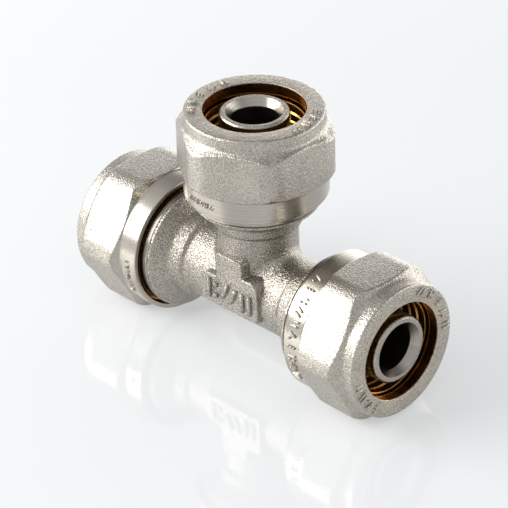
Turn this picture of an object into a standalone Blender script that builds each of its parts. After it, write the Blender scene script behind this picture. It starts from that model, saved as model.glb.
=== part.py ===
"""Equal tee compression fitting for 16 x 2 mm multilayer pipe.

One forged tee carries three threaded spigots, each with a hose insert inside it.
On every spigot sit a coupling nut, a split clamping ring, two O-rings and an
insulating washer.  The run lies along X, the branch stands up along +Z, and the
fitting rests on one flat of each run nut, so the table is the plane z = 0.

Lengths are millimetres up to the point where a mesh is made, and metres after it.
"""
import math

import bmesh
import bpy
import numpy as np
from mathutils import Matrix

MM = 0.001

# Overall sizes
ARM_REACH = 32.0          # centre of the tee to the outer face of each nut
NUT_ACROSS_FLATS = 24.0
RUN_HEIGHT = NUT_ACROSS_FLATS / 2
TOUCH_GAP = 0.3           # gap left between pieces that rest on each other

# Pipe thread between spigot and nut: G 1/2, right handed
THREAD_PITCH = 1.814
THREAD_CREST_R = 10.40
THREAD_ROOT_R = 9.30
THREAD_CREST_WIDTH = 0.25
THREAD_FLANK_SLOPE = math.tan(math.radians(27.5))
THREAD_DEPTH = 1.35       # of the cutting bar, a little deeper than the finished thread
THREAD_PLAY = 0.30        # radial room between the two threads
THREAD_SIDE_PLAY = 0.20
THREAD_SEGMENTS = 20
THREAD_START = 17.6       # along the arm
THREAD_OVERRUN = 3.0      # how far the cutting bars run past the thread's two ends
THREAD_RUN_OUT = 0.1      # how far the nut's thread runs on into the relief

# Tee body
BARREL_R = 6.8
NECK_R = 6.72
WATERWAY_R = 3.95
BRANCH_WATERWAY_R = 3.85
RUN_STEP_AT = 10.8        # small step between barrel and band on the run
BRANCH_STEP_AT = 11.3
BAND_R = 7.4
BAND_END_R = 7.7
BAND_END_AT = 13.6
STEP_LENGTH = 0.5         # of the slope between barrel or neck and band
FLANGE_AT = 15.2
SPIGOT_R = 10.45
FLANGE_EDGE = 0.25
SPIGOT_END = 24.5
SPIGOT_CHAMFER = 0.9
SOCKET_R = 8.25           # inside of the spigot, takes the 16 mm pipe
SOCKET_CHAMFER = 0.7
SOCKET_ROOT_AT = 19.0
INSERT_R = 5.75           # goes inside the 12 mm bore of the pipe
INSERT_END = 31.45
INSERT_EDGE = 0.3
INSERT_MOUTH_R = 4.65
MOUTH_SLOPE = 0.5         # narrowing of the insert's mouth, radius over depth
MOUTH_POINT_R = 3.4       # where the countersink ends, inside the waterway
GROOVE_FLOOR_R = 4.95
GROOVE_WIDTH = 1.4
GROOVES_AT = (23.4, 27.4)
PAD_FACE = 7.4            # flat face of the raised pad on the front, from the run axis
PAD_ROOT = 4.5
PAD_OUTLINE = (           # (x, z) from the centre of the tee: an upside-down T
    (-5.9, -2.6), (6.9, -2.6), (6.9, 3.6), (5.9, 4.6), (3.5, 4.6),
    (3.5, 7.4), (-2.4, 7.4), (-2.4, 2.8), (-4.9, 2.8), (-5.9, 1.8),
)

# Coupling nut, measured from its rear end
NUT_LENGTH = 14.7
NUT_AT = ARM_REACH - NUT_LENGTH
NUT_CORNER_ROUND = 4.5
REAR_COLLAR_R = 11.8
REAR_EDGE = 0.15
REAR_SHOULDER_AT = 3.64
REAR_SHOULDER_SLOPE = 0.82
FRONT_COLLAR_R = 11.45
FRONT_EDGE = 0.35
FRONT_SHOULDER_AT = 12.41
FRONT_SHOULDER_SLOPE = 0.83
NUT_MOUTH_R = 11.05
NUT_MOUTH_DEPTH = 1.2
NUT_BORE_R = THREAD_ROOT_R + THREAD_PLAY
RELIEF_CLEARANCE = 0.05
RELIEF_R = THREAD_CREST_R + THREAD_PLAY + RELIEF_CLEARANCE
RELIEF_FROM = 7.3
RELIEF_TO = 9.3
SEAT_R = 10.0
LIP_R = 8.35
LIP_AT = 12.9
LIP_EDGE = 0.2
BRANCH_NUT_TURN = -33.0   # degrees that the branch nut stopped at

# Split clamping ring, measured along the arm
RING_BORE_R = 8.05
RING_R = 9.3
RING_FROM = 24.75
RING_TO = 29.5
RING_CHAMFER = 0.4
RING_GROOVES = 2
RING_GROOVE_DEPTH = 0.3
RING_SLIT = 1.3
RING_SECTIONS = 26

# O-rings and washer
O_RING_R = 5.5
O_RING_WIRE_R = 0.5
O_RING_SECTIONS = 18
O_RING_SIDES = 6
WASHER_THICK = 1.2
WASHER_IN_R = 5.95
WASHER_OUT_R = 8.0
WASHER_SECTIONS = 24

# Fineness of the meshes and room for cutters
TURN_SECTIONS = 32
SMOOTH_ANGLE = 32         # degrees; steeper edges stay crisp
CORNER_LEANS = (-30, 0, 30)   # degrees at which a corner's rounding is cut
FLAT_LEANS = (20, 30, 40)     # and those across the flat that follows it
PAST_END = 1.0            # how far plain cutters run past the end of what they cut
WASTE_R = 12.0            # outside of the sleeve that is cut away to leave the thread
THREAD_LEAD = 0.3         # part of a segment that keeps the thread's columns off other edges

# Arms: name, matrix that turns the arm's own +Z outward, turn of its nut's hexagon, turn of
# its ring's slit, both in degrees
ARMS = {
    "left": (Matrix(((0, 0, -1), (-1, 0, 0), (0, 1, 0))), 0.0, 200.0),
    "right": (Matrix(((0, 0, 1), (1, 0, 0), (0, 1, 0))), 0.0, 150.0),
    "branch": (Matrix.Identity(3), BRANCH_NUT_TURN, 35.0),
}

NICKEL = ("nickel_plate", (0.62, 0.60, 0.57), 0.34, 1.0)
RAW_BRASS = ("raw_brass", (0.74, 0.52, 0.24), 0.30, 1.0)
EPDM = ("epdm_rubber", (0.02, 0.02, 0.02), 0.55, 0.0)
WASHER_PLASTIC = ("washer_plastic", (0.10, 0.10, 0.11), 0.45, 0.0)


def clear_scene():
    """Remove every object of the start-up scene."""
    for item in list(bpy.data.objects):
        bpy.data.objects.remove(item, do_unlink=True)


def make_material(spec):
    """Principled material from a (name, colour, roughness, metallic) tuple."""
    name, colour, roughness, metallic = spec
    material = bpy.data.materials.new(name)
    material.use_nodes = True
    shader = material.node_tree.nodes["Principled BSDF"]
    shader.inputs["Base Color"].default_value = (*colour, 1.0)
    shader.inputs["Roughness"].default_value = roughness
    shader.inputs["Metallic"].default_value = metallic
    return material


def make_object(name, points, faces, spec=None):
    """Mesh object in metres from points in millimetres, faces out, shaded smooth."""
    mesh = bpy.data.meshes.new(name)
    mesh.from_pydata([tuple(point) for point in np.asarray(points) * MM], [], faces)
    work = bmesh.new()
    work.from_mesh(mesh)
    bmesh.ops.remove_doubles(work, verts=work.verts, dist=1e-7)
    bmesh.ops.dissolve_degenerate(work, edges=work.edges, dist=1e-8)
    axis_edges = [edge for edge in work.edges if not edge.link_faces]
    bmesh.ops.delete(work, geom=axis_edges, context="EDGES")
    bmesh.ops.recalc_face_normals(work, faces=work.faces)
    work.to_mesh(mesh)
    work.free()
    mesh.shade_smooth()
    mesh.set_sharp_from_angle(angle=math.radians(SMOOTH_ANGLE))
    item = bpy.data.objects.new(name, mesh)
    bpy.context.scene.collection.objects.link(item)
    if spec:
        mesh.materials.append(make_material(spec))
    return item


def make_cutter(name, points, faces):
    """A mesh object that only shapes others."""
    item = make_object(name, points, faces)
    item.hide_render = True
    item.display_type = "WIRE"
    return item


def combine(item, other, operation):
    """Boolean modifier with the exact solver."""
    step = item.modifiers.new(other.name, "BOOLEAN")
    step.operation = operation
    step.object = other
    step.solver = "EXACT"


def join_sections(sections, closed=True):
    """Skin a row of outlines, each an array of points, into one closed surface."""
    sections = np.asarray(sections)
    count, size = sections.shape[:2]
    faces = []
    for i in range(count if closed else count - 1):
        j = (i + 1) % count
        for a in range(size):
            b = (a + 1) % size
            faces.append((i * size + a, i * size + b, j * size + b, j * size + a))
    if not closed:
        faces.append(tuple(range(size)))
        faces.append(tuple(range((count - 1) * size, count * size)))
    return sections.reshape(-1, 3), faces


def place(outline, angle):
    """Outline of (radius, along) points set into the half-plane at an angle."""
    radius, along = np.asarray(outline, float).T
    return np.stack([radius * math.cos(angle), radius * math.sin(angle), along], axis=1)


def turned(outline, sections=TURN_SECTIONS, lead=0.0):
    """Solid of revolution about Z of one closed outline; lead turns it by part of a section."""
    angles = (np.arange(sections) + lead) * math.tau / sections
    return join_sections([place(outline, angle) for angle in angles])


def cylinder(radius, start, end):
    """Plain round bar about Z, its corners set between those of the solids that it cuts."""
    return turned([(0, start), (radius, start), (radius, end), (0, end)], lead=0.5)


def screw(play, start, end, origin=0.0):
    """Screw-thread bar about Z: a ridge of trapezoid section wound round a core.

    Each column of the grid has four corners to a pitch, and every corner climbs one
    pitch per turn, so the last column meets the first one four corners higher.  The
    phase counts from the centre of the tee, so spigot and nut are in mesh.
    """
    crest_r = THREAD_CREST_R + play
    side = THREAD_SIDE_PLAY if play else 0.0
    half_crest = THREAD_CREST_WIDTH / 2 + side - play * THREAD_FLANK_SLOPE
    half_core = half_crest + THREAD_DEPTH * THREAD_FLANK_SLOPE
    corner_r = np.array([crest_r - THREAD_DEPTH, crest_r, crest_r, crest_r - THREAD_DEPTH])
    corner_at = np.array([-half_core, -half_crest, half_crest, half_core])
    first = math.floor(start / THREAD_PITCH)
    size = 4 * (math.ceil(end / THREAD_PITCH) - first)
    count = THREAD_SEGMENTS

    turn, row = np.meshgrid((np.arange(count) + THREAD_LEAD) / count, np.arange(size), indexing="ij")
    radius = corner_r[row % 4]
    along = (first + row // 4 + turn) * THREAD_PITCH + corner_at[row % 4] - origin
    angle = math.tau * turn
    points = np.stack([radius * np.cos(angle), radius * np.sin(angle), along], axis=2).reshape(-1, 3)

    def index(column, level):
        return column * size + level if column < count else level + 4

    faces = []
    for column in range(count):
        levels = size - 1 if column < count - 1 else size - 5
        for level in range(levels):
            faces.append((index(column, level), index(column + 1, level),
                          index(column + 1, level + 1), index(column, level + 1)))
    bottom = [index(column, 0) for column in range(count)] + [4, 3, 2, 1]
    top = [index(column, size - 1) for column in range(count)]
    top += [index(count - 1, size - 1 - step) for step in range(1, 5)]
    for loop, height in ((bottom, along.min() - THREAD_PITCH), (top, along.max() + THREAD_PITCH)):
        points = np.vstack([points, [0.0, 0.0, height]])
        hub = len(points) - 1
        faces += [(hub, a, b) for a, b in zip(loop, loop[1:] + loop[:1])]
    return points, faces


def along_x(shape):
    """A shape about Z laid along X."""
    points, faces = shape
    return np.roll(points, 1, axis=1), faces


def arm_outline(neck_r, step_at):
    """Outer and inner outline of one arm, from its root on the axis to the insert's mouth."""
    outline = [
        (neck_r, step_at),
        (BAND_R, step_at + STEP_LENGTH),
        (BAND_END_R, BAND_END_AT),
        (SPIGOT_R - FLANGE_EDGE, FLANGE_AT),
        (SPIGOT_R, FLANGE_AT + FLANGE_EDGE),
        (SPIGOT_R, SPIGOT_END - SPIGOT_CHAMFER),
        (SPIGOT_R - SPIGOT_CHAMFER, SPIGOT_END),
        (SOCKET_R + SOCKET_CHAMFER, SPIGOT_END),
        (SOCKET_R, SPIGOT_END - SOCKET_CHAMFER),
        (SOCKET_R, SOCKET_ROOT_AT),
        (INSERT_R, SOCKET_ROOT_AT),
    ]
    mouth_depth = (INSERT_MOUTH_R - MOUTH_POINT_R) / MOUTH_SLOPE
    for middle in GROOVES_AT:
        near, far = middle - GROOVE_WIDTH / 2, middle + GROOVE_WIDTH / 2
        outline += [(INSERT_R, near), (GROOVE_FLOOR_R, near), (GROOVE_FLOOR_R, far), (INSERT_R, far)]
    outline += [
        (INSERT_R, INSERT_END - INSERT_EDGE),
        (INSERT_R - INSERT_EDGE, INSERT_END),
        (INSERT_MOUTH_R, INSERT_END),
        (MOUTH_POINT_R, INSERT_END - mouth_depth),
        (0.0, INSERT_END - mouth_depth),
    ]
    return outline


def make_tee_body(arms):
    """Forged tee: run and branch joined, pad raised, waterways bored, spigots threaded."""
    half = arm_outline(BARREL_R, RUN_STEP_AT)
    run = half[::-1] + [(radius, -along) for radius, along in half]
    body = make_object("tee_body", *along_x(turned(run)), NICKEL)
    branch_outline = [(0, 0), (NECK_R, 0)] + arm_outline(NECK_R, BRANCH_STEP_AT)
    branch = make_cutter("branch_blank", *turned(branch_outline))
    front = [(x, -PAD_FACE, z) for x, z in PAD_OUTLINE]
    back = [(x, -PAD_ROOT, z) for x, z in PAD_OUTLINE]
    pad = make_cutter("pad_blank", *join_sections([front, back], closed=False))
    bore_end = ARM_REACH + PAST_END
    run_bore = make_cutter("run_bore", *along_x(cylinder(WATERWAY_R, -bore_end, bore_end)))
    branch_bore = make_cutter("branch_bore", *cylinder(BRANCH_WATERWAY_R, 0, bore_end))
    for item in (body, branch, pad, run_bore, branch_bore):
        item.location.z = RUN_HEIGHT * MM
    combine(body, branch, "UNION")
    combine(body, pad, "UNION")
    combine(body, run_bore, "DIFFERENCE")
    combine(body, branch_bore, "DIFFERENCE")
    past_end = SPIGOT_END + PAST_END
    ridge_start, ridge_end = THREAD_START - THREAD_OVERRUN, past_end + THREAD_OVERRUN
    sleeve = [
        (THREAD_ROOT_R, THREAD_START),
        (WASTE_R, THREAD_START),
        (WASTE_R, past_end),
        (THREAD_ROOT_R, past_end),
    ]
    for name, arm in arms.items():
        waste = make_cutter(name + "_thread_waste", *turned(sleeve))
        ridge = make_cutter(name + "_thread_ridge", *screw(0.0, ridge_start, ridge_end))
        attach(waste, arm)
        attach(ridge, arm)
        combine(waste, ridge, "DIFFERENCE")
        combine(body, waste, "DIFFERENCE")


def hexagon_sections():
    """Angles and radii round a hexagon with rounded corners, six to each corner."""
    corner_centre = (NUT_ACROSS_FLATS / 2 - NUT_CORNER_ROUND) / math.cos(math.pi / 6)
    sector = []
    for lean in np.radians(CORNER_LEANS):
        x = corner_centre + NUT_CORNER_ROUND * math.cos(lean)
        y = NUT_CORNER_ROUND * math.sin(lean)
        sector.append((math.atan2(y, x), math.hypot(x, y)))
    for angle in np.radians(FLAT_LEANS):
        sector.append((angle, NUT_ACROSS_FLATS / 2 / math.cos(math.pi / 6 - angle)))
    return [(corner * math.pi / 3 + angle, radius) for corner in range(6) for angle, radius in sector]


def make_nut(name, arm, turn):
    """Coupling nut: hexagon between two round collars, threaded bore, cone seat and lip."""
    sections = []
    for angle, radius in hexagon_sections():
        outline = [
            (NUT_MOUTH_R, 0),
            (REAR_COLLAR_R - REAR_EDGE, 0),
            (REAR_COLLAR_R, REAR_EDGE),
            (REAR_COLLAR_R, REAR_SHOULDER_AT),
            (radius, REAR_SHOULDER_AT + (radius - REAR_COLLAR_R) * REAR_SHOULDER_SLOPE),
            (radius, FRONT_SHOULDER_AT - (radius - FRONT_COLLAR_R) * FRONT_SHOULDER_SLOPE),
            (FRONT_COLLAR_R, FRONT_SHOULDER_AT),
            (FRONT_COLLAR_R, NUT_LENGTH - FRONT_EDGE),
            (FRONT_COLLAR_R - FRONT_EDGE, NUT_LENGTH),
            (LIP_R + LIP_EDGE, NUT_LENGTH),
            (LIP_R, NUT_LENGTH - LIP_EDGE),
            (LIP_R, LIP_AT),
            (SEAT_R, RELIEF_TO),
            (RELIEF_R, RELIEF_TO),
            (RELIEF_R, RELIEF_FROM),
            (NUT_BORE_R, RELIEF_FROM),
            (NUT_BORE_R, NUT_MOUTH_DEPTH),
        ]
        sections.append(place(outline, angle + math.radians(turn)))
    nut = make_object(name + "_nut", *join_sections(sections), NICKEL)
    inside = NUT_AT + RELIEF_FROM + THREAD_RUN_OUT
    ridge = make_cutter(name + "_nut_thread", *screw(THREAD_PLAY, NUT_AT - THREAD_OVERRUN, inside, NUT_AT))
    attach(nut, arm, NUT_AT)
    attach(ridge, arm, NUT_AT)
    combine(nut, ridge, "DIFFERENCE")


def make_split_ring(name, arm, slit_turn):
    """Clamping ring, slit along its length, grooved inside and tapered to fit the nut's cone."""
    seat_slope = (SEAT_R - LIP_R) / (LIP_AT - RELIEF_TO)
    seat_from = NUT_AT + RELIEF_TO

    def taper_r(along):
        return SEAT_R - TOUCH_GAP - seat_slope * (along - seat_from)

    taper_from = seat_from + (SEAT_R - TOUCH_GAP - RING_R) / seat_slope
    outline = [
        (RING_BORE_R, RING_FROM),
        (RING_R - RING_CHAMFER, RING_FROM),
        (RING_R, RING_FROM + RING_CHAMFER),
        (RING_R, taper_from),
        (taper_r(RING_TO), RING_TO),
        (RING_BORE_R, RING_TO),
    ]
    spacing = (RING_TO - RING_FROM) / (RING_GROOVES + 1)
    for count in range(1, RING_GROOVES + 1):
        middle = RING_TO - count * spacing
        outline += [
            (RING_BORE_R, middle + RING_GROOVE_DEPTH),
            (RING_BORE_R + RING_GROOVE_DEPTH, middle),
            (RING_BORE_R, middle - RING_GROOVE_DEPTH),
        ]
    half_slit = RING_SLIT / 2 / RING_BORE_R
    angles = math.radians(slit_turn) + np.linspace(half_slit, math.tau - half_slit, RING_SECTIONS)
    sections = [place(outline, angle) for angle in angles]
    ring = make_object(name + "_split_ring", *join_sections(sections, closed=False), RAW_BRASS)
    attach(ring, arm)


def make_seals(name, arm):
    """Two O-rings in the insert's grooves and the insulating washer at its root."""
    corners = np.arange(O_RING_SIDES) * math.tau / O_RING_SIDES
    for place_name, middle in zip(("inner", "outer"), GROOVES_AT):
        wire = [(O_RING_R + O_RING_WIRE_R * math.cos(a), O_RING_WIRE_R * math.sin(a)) for a in corners]
        seal = make_object(f"{name}_{place_name}_o_ring", *turned(wire, O_RING_SECTIONS), EPDM)
        attach(seal, arm, middle)
    back = SOCKET_ROOT_AT + TOUCH_GAP
    front = back + WASHER_THICK
    outline = [(WASHER_IN_R, back), (WASHER_OUT_R, back), (WASHER_OUT_R, front), (WASHER_IN_R, front)]
    washer = make_object(name + "_insulating_washer", *turned(outline, WASHER_SECTIONS), WASHER_PLASTIC)
    attach(washer, arm)


def make_arm(name, matrix):
    """Empty at the centre of the tee whose +Z points out along one arm."""
    arm = bpy.data.objects.new(name + "_arm", None)
    arm.matrix_world = Matrix.Translation((0, 0, RUN_HEIGHT * MM)) @ matrix.to_4x4()
    bpy.context.scene.collection.objects.link(arm)
    return arm


def attach(item, arm, along=0.0):
    """Hang a piece on an arm, at a distance from the centre of the tee."""
    item.parent = arm
    item.location = (0, 0, along * MM)


clear_scene()
arm_empties = {name: make_arm(name, matrix) for name, (matrix, _, _) in ARMS.items()}
make_tee_body(arm_empties)
for arm_name, (_, nut_turn, slit_angle) in ARMS.items():
    make_nut(arm_name, arm_empties[arm_name], nut_turn)
    make_split_ring(arm_name, arm_empties[arm_name], slit_angle)
    make_seals(arm_name, arm_empties[arm_name])
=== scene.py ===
"""Visual model of an equal tee compression fitting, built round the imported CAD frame.

Every piece is a surface worked out with numpy: an outline of (along, radius) points
carried round one of the fitting's three arms.  Sizes are metres.  An arm is described
by its own right-handed axes, the third of which points out of the tee.
"""
import math

import bmesh
import bpy
import numpy as np
from bpy.props import FloatProperty, FloatVectorProperty, IntProperty, PointerProperty
from mathutils import Matrix, Vector


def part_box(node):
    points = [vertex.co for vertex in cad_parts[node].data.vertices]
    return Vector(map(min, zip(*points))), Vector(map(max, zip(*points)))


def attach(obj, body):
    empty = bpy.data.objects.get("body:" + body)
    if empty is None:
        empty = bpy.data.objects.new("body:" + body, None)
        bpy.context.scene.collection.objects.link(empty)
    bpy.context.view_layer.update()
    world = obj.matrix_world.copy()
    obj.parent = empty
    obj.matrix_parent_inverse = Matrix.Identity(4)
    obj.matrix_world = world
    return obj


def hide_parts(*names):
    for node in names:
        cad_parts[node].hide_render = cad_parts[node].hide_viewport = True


bl_info = {
    "name": "Compression tee",
    "version": (1, 0, 0),
    "blender": (4, 5, 0),
    "location": "View3D > Sidebar > Fitting",
    "description": "Builds a nickel-plated compression tee round its CAD frame",
    "category": "Add Mesh",
}

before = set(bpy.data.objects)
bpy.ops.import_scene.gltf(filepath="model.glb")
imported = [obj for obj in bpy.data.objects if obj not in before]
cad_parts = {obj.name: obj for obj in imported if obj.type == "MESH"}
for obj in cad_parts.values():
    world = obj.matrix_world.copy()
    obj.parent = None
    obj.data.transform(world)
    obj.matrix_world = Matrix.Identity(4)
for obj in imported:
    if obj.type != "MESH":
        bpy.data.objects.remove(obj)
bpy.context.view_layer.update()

MM = 0.001
TURN = math.tau

# Read from the frame: where the arms cross, how far they reach, and how large a nut is
NUT_LOW, NUT_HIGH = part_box("right_nut")
RING_LOW, RING_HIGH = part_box("right_split_ring")
WASHER_LOW, WASHER_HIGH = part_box("right_insulating_washer")
RUN_HEIGHT = (NUT_LOW.z + NUT_HIGH.z) / 2
CENTRE = np.array([0.0, 0.0, RUN_HEIGHT])
ARM_REACH = NUT_HIGH.x
ACROSS_FLATS = NUT_HIGH.z - NUT_LOW.z

# Columns are the arm's own axes; the third one points outward.  The last value is the
# turn at which the arm's nut came to rest, and the one before it that of the ring's slit.
ARMS = {
    "left": (np.array([[0, 0, -1], [-1, 0, 0], [0, 1, 0]], float), 200.0, 0.0),
    "right": (np.array([[0, 0, 1], [1, 0, 0], [0, 1, 0]], float), 150.0, 0.0),
    "branch": (np.eye(3), 35.0, -33.0),
}

# Middle turn of the signs on each nut's face, and middle turn, number and size of those on
# its rear collar
MARKS = {
    "left": (60.0, -11.0, 7, 0.85 * MM),
    "right": (33.0, 162.0, 10, 1.75 * MM),
    "branch": (196.0, 266.0, 6, 0.85 * MM),
}

# Half widths of the thread's crests, and how far its flanks lean
SPIGOT_CREST_HALF = 0.125 * MM
NUT_CREST_HALF = 0.169 * MM
FLANK_LEAN = math.radians(27.5)

# Surface of the pad, out from the run's axis
PAD_FACE = 7.4 * MM

# Direction of the softbox from the fitting
SOFTBOX_SIDE = (-0.62, -0.62, 0.45)


def length(name, description, millimetres):
    """Length property whose default is given in millimetres."""
    return FloatProperty(name=name, description=description, default=millimetres * MM,
                         unit="LENGTH", precision=5)


def tint(name, description, default):
    """Colour property of a finish."""
    return FloatVectorProperty(name=name, description=description, subtype="COLOR",
                               default=default, min=0, max=1)


class FittingBodySizes(bpy.types.PropertyGroup):
    """Sizes of the forged tee."""

    barrel_r: length("Barrel radius", "Radius of the run between its two steps", 6.8)
    neck_r: length("Neck radius", "Radius of the branch below its step", 6.72)
    fillet: length("Crotch fillet", "Size of the blend where the branch leaves the run", 2.2)
    plain_end: length("Plain end", "Where the blended middle of the tee ends on each arm", 9.4)
    run_step: length("Run step", "Where the run steps up to its band", 10.8)
    branch_step: length("Branch step", "Where the branch steps up to its band", 11.3)
    band_r: length("Band radius", "Radius of the band behind the step", 7.4)
    band_end_r: length("Band end radius", "Radius of the band where the flange rises", 7.72)
    band_end: length("Band end", "Where the band meets the flange", 13.6)
    flange: length("Flange edge", "Where the forged flange reaches its full radius", 15.2)
    spigot_r: length("Spigot radius", "Radius of the turned spigot behind its thread", 10.45)
    spigot_end: length("Spigot end", "Open end of the threaded spigot", 24.5)
    spigot_chamfer: length("Spigot chamfer", "Bevel on the spigot's mouth", 0.9)
    socket_r: length("Socket radius", "Inside of the spigot, which takes the pipe", 8.25)
    socket_root: length("Socket root", "Floor of the socket", 19.0)
    insert_r: length("Insert radius", "Outside of the hose insert", 5.75)
    insert_end: length("Insert end", "Open end of the insert", 31.45)
    mouth_r: length("Insert mouth radius", "Wide end of the countersunk mouth", 4.68)
    mouth_depth: length("Insert mouth depth", "Depth of the countersink", 1.4)
    waterway_r: length("Waterway radius", "Radius of the bore", 3.95)
    groove_floor_r: length("O-ring groove radius", "Floor of the O-ring grooves", 4.95)
    groove_width: length("O-ring groove width", "Width of the O-ring grooves", 1.4)
    first_groove: length("First groove", "Middle of the inner O-ring groove", 23.4)
    second_groove: length("Second groove", "Middle of the outer O-ring groove", 27.4)


class FittingThreadSizes(bpy.types.PropertyGroup):
    """Sizes of the pipe thread between spigot and nut."""

    pitch: length("Pitch", "Rise of the thread in one turn", 1.814)
    crest_r: length("Crest radius", "Top of the spigot's thread", 10.40)
    root_r: length("Root radius", "Bottom of the spigot's thread", 9.30)
    play: length("Play", "Radial room between spigot and nut", 0.30)
    start: length("Thread start", "Where the spigot's thread begins", 17.6)


class FittingNutSizes(bpy.types.PropertyGroup):
    """Sizes of the coupling nuts, measured from the rear end."""

    nut_length: length("Length", "Length of the nut", 14.7)
    corner_round: length("Corner rounding", "Radius of the hexagon's forged corners", 4.5)
    rear_collar_r: length("Rear collar radius", "Radius of the turned rear collar", 11.8)
    rear_shoulder: length("Rear shoulder", "Where the flats run out on the rear collar", 3.64)
    front_collar_r: length("Front collar radius", "Radius of the forged front collar", 11.45)
    front_shoulder: length("Front shoulder", "Where the flats run out on the front collar", 12.41)
    mouth_r: length("Mouth radius", "Open rear end of the bore", 11.05)
    mouth_depth: length("Mouth depth", "Depth of the rear chamfer", 1.2)
    relief_from: length("Relief start", "Where the thread runs out inside", 7.3)
    relief_to: length("Relief end", "Where the cone seat begins", 9.3)
    seat_r: length("Seat radius", "Wide end of the cone seat", 10.0)
    lip_r: length("Lip radius", "Hole that the pipe passes", 8.35)
    lip_at: length("Lip start", "Inner edge of the lip", 12.9)


class FittingRingSizes(bpy.types.PropertyGroup):
    """Sizes of the split rings, the O-rings and the insulating washers."""

    bore_r: length("Ring bore radius", "Inside of the split ring", 8.05)
    groove: length("Ring groove", "Depth and half width of the grooves in the ring's bore", 0.28)
    bevel: length("Ring bevel", "Bevel on the ring's outer rear edge", 0.4)
    play: length("Ring play", "Radial room between the ring's taper and the nut's seat", 0.3)
    half_slit: length("Half slit", "Half the width of the slit", 0.65)
    seal_r: length("O-ring radius", "Radius of the circle that the O-ring's wire follows", 5.5)
    wire_r: length("O-ring wire radius", "Radius of the O-ring's wire", 0.5)
    washer_inner_r: length("Washer inner radius", "Hole of the insulating washer", 5.95)
    washer_outer_r: length("Washer outer radius", "Rim of the insulating washer", 8.0)


class FittingColours(bpy.types.PropertyGroup):
    """Colours of the finishes."""

    nickel: tint("Nickel", "Plating on the nuts", (0.525, 0.485, 0.425))
    # Darker than the nuts' nickel: partly the duller forged plating, partly painted shade for the
    # dimness between the nuts and the body
    tee_nickel_and_shade: tint("Tee nickel", "Duller plating on the tee", (0.435, 0.40, 0.35))
    brass: tint("Brass", "Bare machined brass", (0.85, 0.48, 0.14))
    # Very dark brass: real stain on the split rings, and painted shade in the bores and nut mouths of
    # the plated parts
    dark_brass_and_shade: tint("Dull brass", "Stained bare brass", (0.20, 0.10, 0.032))
    rubber: tint("Rubber", "O-rings", (0.012, 0.012, 0.013))
    plastic: tint("Plastic", "Insulating washers", (0.05, 0.05, 0.055))
    floor: tint("Floor", "Studio table", (0.45, 0.46, 0.47))


class FittingStageSettings(bpy.types.PropertyGroup):
    """Camera and light of the studio."""

    azimuth: FloatProperty(name="Azimuth", description="Camera's turn from looking along +Y",
                           default=math.radians(46.08), subtype="ANGLE")
    elevation: FloatProperty(name="Elevation", description="Camera's height angle",
                             default=math.radians(31.05), subtype="ANGLE")
    roll: FloatProperty(name="Roll", description="Camera's tilt about its own axis",
                        default=math.radians(-1.62), subtype="ANGLE")
    distance: length("Distance", "Camera to the crossing of the arms", 534.4)
    aim_right: length("Aim right", "How far right of the crossing the camera aims", -0.837)
    aim_up: length("Aim up", "How far above the crossing the camera aims", 4.107)
    lens: FloatProperty(name="Lens", description="Focal length in millimetres on a 36 mm sensor",
                        default=231.1)
    softbox_distance: length("Softbox distance", "Softbox to the crossing of the arms", 600.0)
    softbox_width: length("Softbox width", "Width of the softbox", 620.0)
    softbox_height: length("Softbox height", "Height of the softbox", 360.0)
    softbox_radiance: FloatProperty(name="Softbox radiance", description="Brightness of the softbox",
                                    default=6.0)
    table_half: length("Table half side", "Half the side of the table top", 3000.0)
    columns: IntProperty(name="Columns", description="Mesh columns round an arm of the tee", default=120)
    nut_columns: IntProperty(name="Nut columns", description="Mesh columns round a nut", default=216)


# ---------------------------------------------------------------- surfaces


def soften(outline, radii, steps=4):
    """Round the corners of an open outline.

    outline is (points, 2) or (points, columns, 2).  Each corner with a radius becomes a
    quadratic curve between two points one tangent length away from it along its sides,
    capped at 45 % of the shorter side; the other corners stay as they are.
    """
    outline = np.asarray(outline, float)
    rounded = [outline[0]]
    for before, corner, after, radius in zip(outline[:-2], outline[1:-1], outline[2:], radii[1:-1]):
        if not radius:
            rounded.append(corner)
            continue
        back, ahead = before - corner, after - corner
        back_length = np.linalg.norm(back, axis=-1, keepdims=True)
        ahead_length = np.linalg.norm(ahead, axis=-1, keepdims=True)
        reach = np.minimum(radius, 0.45 * np.minimum(back_length, ahead_length))
        start = corner + back / np.maximum(back_length, 1e-9) * reach
        end = corner + ahead / np.maximum(ahead_length, 1e-9) * reach
        for share in np.linspace(0, 1, steps + 1):
            rest = 1 - share
            rounded.append(rest ** 2 * start + 2 * share * rest * corner + share ** 2 * end)
    rounded.append(outline[-1])
    return np.array(rounded)


def carry(matrix, angles, along, radius):
    """Points of a turned surface: along the arm, and out from its axis at an angle."""
    across, upright = radius * np.cos(angles), radius * np.sin(angles)
    return np.stack(np.broadcast_arrays(across, upright, along), axis=-1) @ matrix.T + CENTRE


def grid_faces(rows, columns, wrap_rows, wrap_columns, first=0):
    """Corner indices of the quads of a grid whose rows or columns may close on themselves."""
    row = np.arange(rows if wrap_rows else rows - 1)[:, None]
    column = np.arange(columns if wrap_columns else columns - 1)[None, :]
    next_row, next_column = (row + 1) % rows, (column + 1) % columns
    corners = [row * columns + column, row * columns + next_column,
               next_row * columns + next_column, next_row * columns + column]
    spread = [np.broadcast_to(corner, (row.size, column.size)) for corner in corners]
    return np.stack(spread, axis=-1).reshape(-1, 4) + first


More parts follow.
